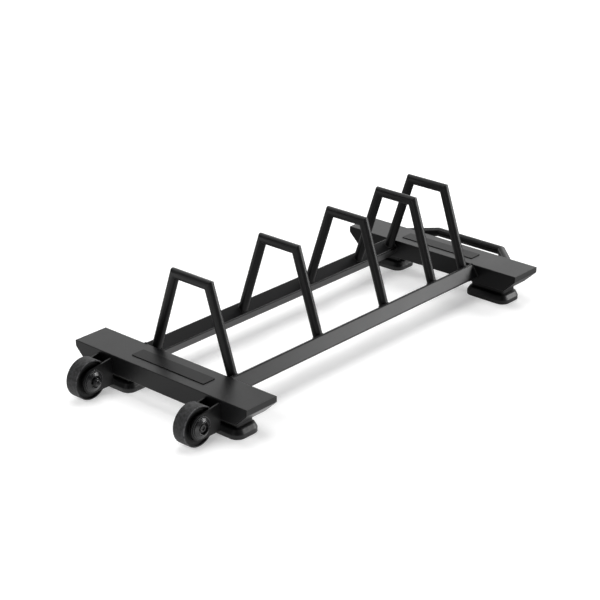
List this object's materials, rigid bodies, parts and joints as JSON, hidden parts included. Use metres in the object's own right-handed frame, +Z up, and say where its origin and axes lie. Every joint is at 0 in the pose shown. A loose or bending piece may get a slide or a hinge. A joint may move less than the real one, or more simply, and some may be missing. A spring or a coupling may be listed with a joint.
{
  "type": "weight plate cart",
  "caption": "Low wheeled rack that holds bumper plates upright between steel hoops, with rubber feet, a wheel pair at one end and a pull handle at the other.",
  "frame": {"origin": "middle of the cart's footprint, on the floor that the feet stand on", "axes": "+X towards the handle end, +Y across the cart to its left, +Z up"},
  "size_m": [1.3642, 0.58, 0.315],
  "materials": {
    "black_powder_coat": "satin black powder coat, lightly textured",
    "plate_coat": "satin black coat, a little darker than the frame",
    "black_steel": "black oxide steel",
    "bright_steel": "zinc plated steel",
    "bearing_steel": "ground bearing steel",
    "tyre_rubber": "matt black rubber tread",
    "hub_plastic": "moulded black nylon",
    "foot_rubber": "moulded black rubber"
  },
  "bodies": {
    "frame": {"wheel_end_beam": "black_powder_coat", "wheel_end_beam_left_end": "black_powder_coat", "wheel_end_beam_right_end": "black_powder_coat", "wheel_end_plate": "plate_coat", "handle_end_beam": "black_powder_coat", "handle_end_beam_left_end": "black_powder_coat", "handle_end_beam_right_end": "black_powder_coat", "handle_end_plate": "plate_coat", "left_rail": "black_powder_coat", "right_rail": "black_powder_coat", "plate_hoop_1": "black_powder_coat", "plate_hoop_2": "black_powder_coat", "plate_hoop_3": "black_powder_coat", "plate_hoop_4": "black_powder_coat", "plate_hoop_5": "black_powder_coat", "pull_handle": "black_powder_coat", "left_wheel_inner_bracket": "black_powder_coat", "left_wheel_outer_bracket": "black_powder_coat", "left_axle_bolt": "black_steel", "left_axle_nut": "black_steel", "left_inner_domed_washer": "black_steel", "left_outer_domed_washer": "black_steel", "left_bearing_sleeve": "bright_steel", "left_inner_axle_spacer": "bright_steel", "left_outer_axle_spacer": "bright_steel", "right_wheel_inner_bracket": "black_powder_coat", "right_wheel_outer_bracket": "black_powder_coat", "right_axle_bolt": "black_steel", "right_axle_nut": "black_steel", "right_inner_domed_washer": "black_steel", "right_outer_domed_washer": "black_steel", "right_bearing_sleeve": "bright_steel", "right_inner_axle_spacer": "bright_steel", "right_outer_axle_spacer": "bright_steel", "wheel_end_left_foot_box": "black_powder_coat", "wheel_end_left_rubber_foot": "foot_rubber", "wheel_end_left_foot_screw_1": "bright_steel", "wheel_end_left_foot_screw_2": "bright_steel", "wheel_end_right_foot_box": "black_powder_coat", "wheel_end_right_rubber_foot": "foot_rubber", "wheel_end_right_foot_screw_1": "bright_steel", "wheel_end_right_foot_screw_2": "bright_steel", "handle_end_left_foot_box": "black_powder_coat", "handle_end_left_rubber_foot": "foot_rubber", "handle_end_left_foot_screw_1": "bright_steel", "handle_end_left_foot_screw_2": "bright_steel", "handle_end_right_foot_box": "black_powder_coat", "handle_end_right_rubber_foot": "foot_rubber", "handle_end_right_foot_screw_1": "bright_steel", "handle_end_right_foot_screw_2": "bright_steel"},
    "left_wheel": {"left_tyre": "tyre_rubber", "left_wheel_hub": "hub_plastic", "left_inner_bearing": "bearing_steel", "left_outer_bearing": "bearing_steel"},
    "right_wheel": {"right_tyre": "tyre_rubber", "right_wheel_hub": "hub_plastic", "right_inner_bearing": "bearing_steel", "right_outer_bearing": "bearing_steel"}
  },
  "joints": [
    {"name": "left_wheel_spin", "type": "hinge", "parent": "frame", "child": "left_wheel", "pos_m": [-0.6316, 0.182, 0.051], "axis": [0, 1, 0], "continuous": true},
    {"name": "right_wheel_spin", "type": "hinge", "parent": "frame", "child": "right_wheel", "pos_m": [-0.6316, -0.182, 0.051], "axis": [0, 1, 0], "continuous": true}
  ]
}
